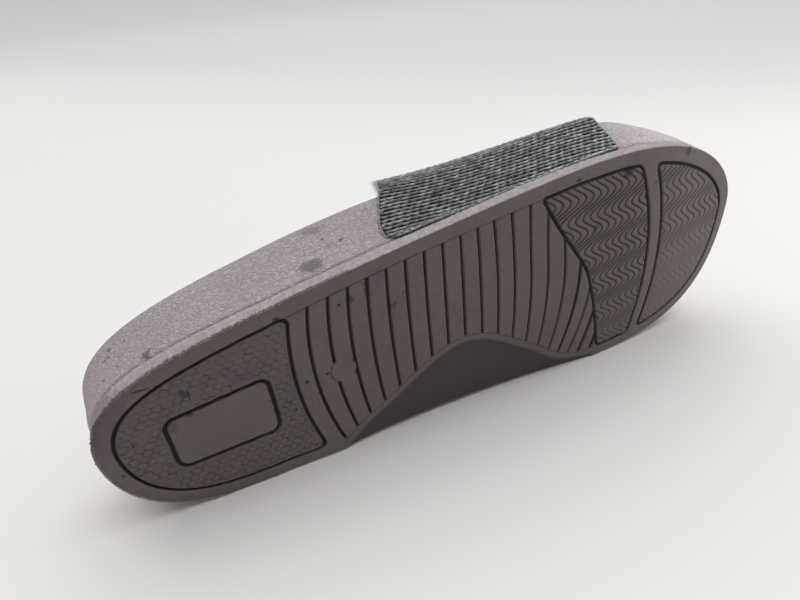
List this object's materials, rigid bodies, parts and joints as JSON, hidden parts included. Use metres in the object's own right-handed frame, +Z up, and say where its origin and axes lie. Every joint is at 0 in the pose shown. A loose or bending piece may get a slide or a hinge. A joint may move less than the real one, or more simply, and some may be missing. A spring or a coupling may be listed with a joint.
{
  "type": "sport slide sandal",
  "caption": "Backless slide sandal lying on its side: contoured foam sole with a ribbed, scooped tread and one knitted band over the forefoot.",
  "frame": {"origin": "middle of the bounding box, on the floor that the shoe lies on", "axes": "+X from heel to toe, the sole's tread towards -Y, the lateral side of the shoe up along +Z"},
  "size_m": [0.2528, 0.0724, 0.0916],
  "materials": {
    "outsole_foam": "matt smooth moulded foam",
    "midsole_foam": "matt moulded foam with a leather grain",
    "strap_knit": "coarse two-tone knit"
  },
  "bodies": {
    "root": {"outsole": "outsole_foam", "midsole": "midsole_foam", "strap": "strap_knit"}
  },
  "joints": []
}
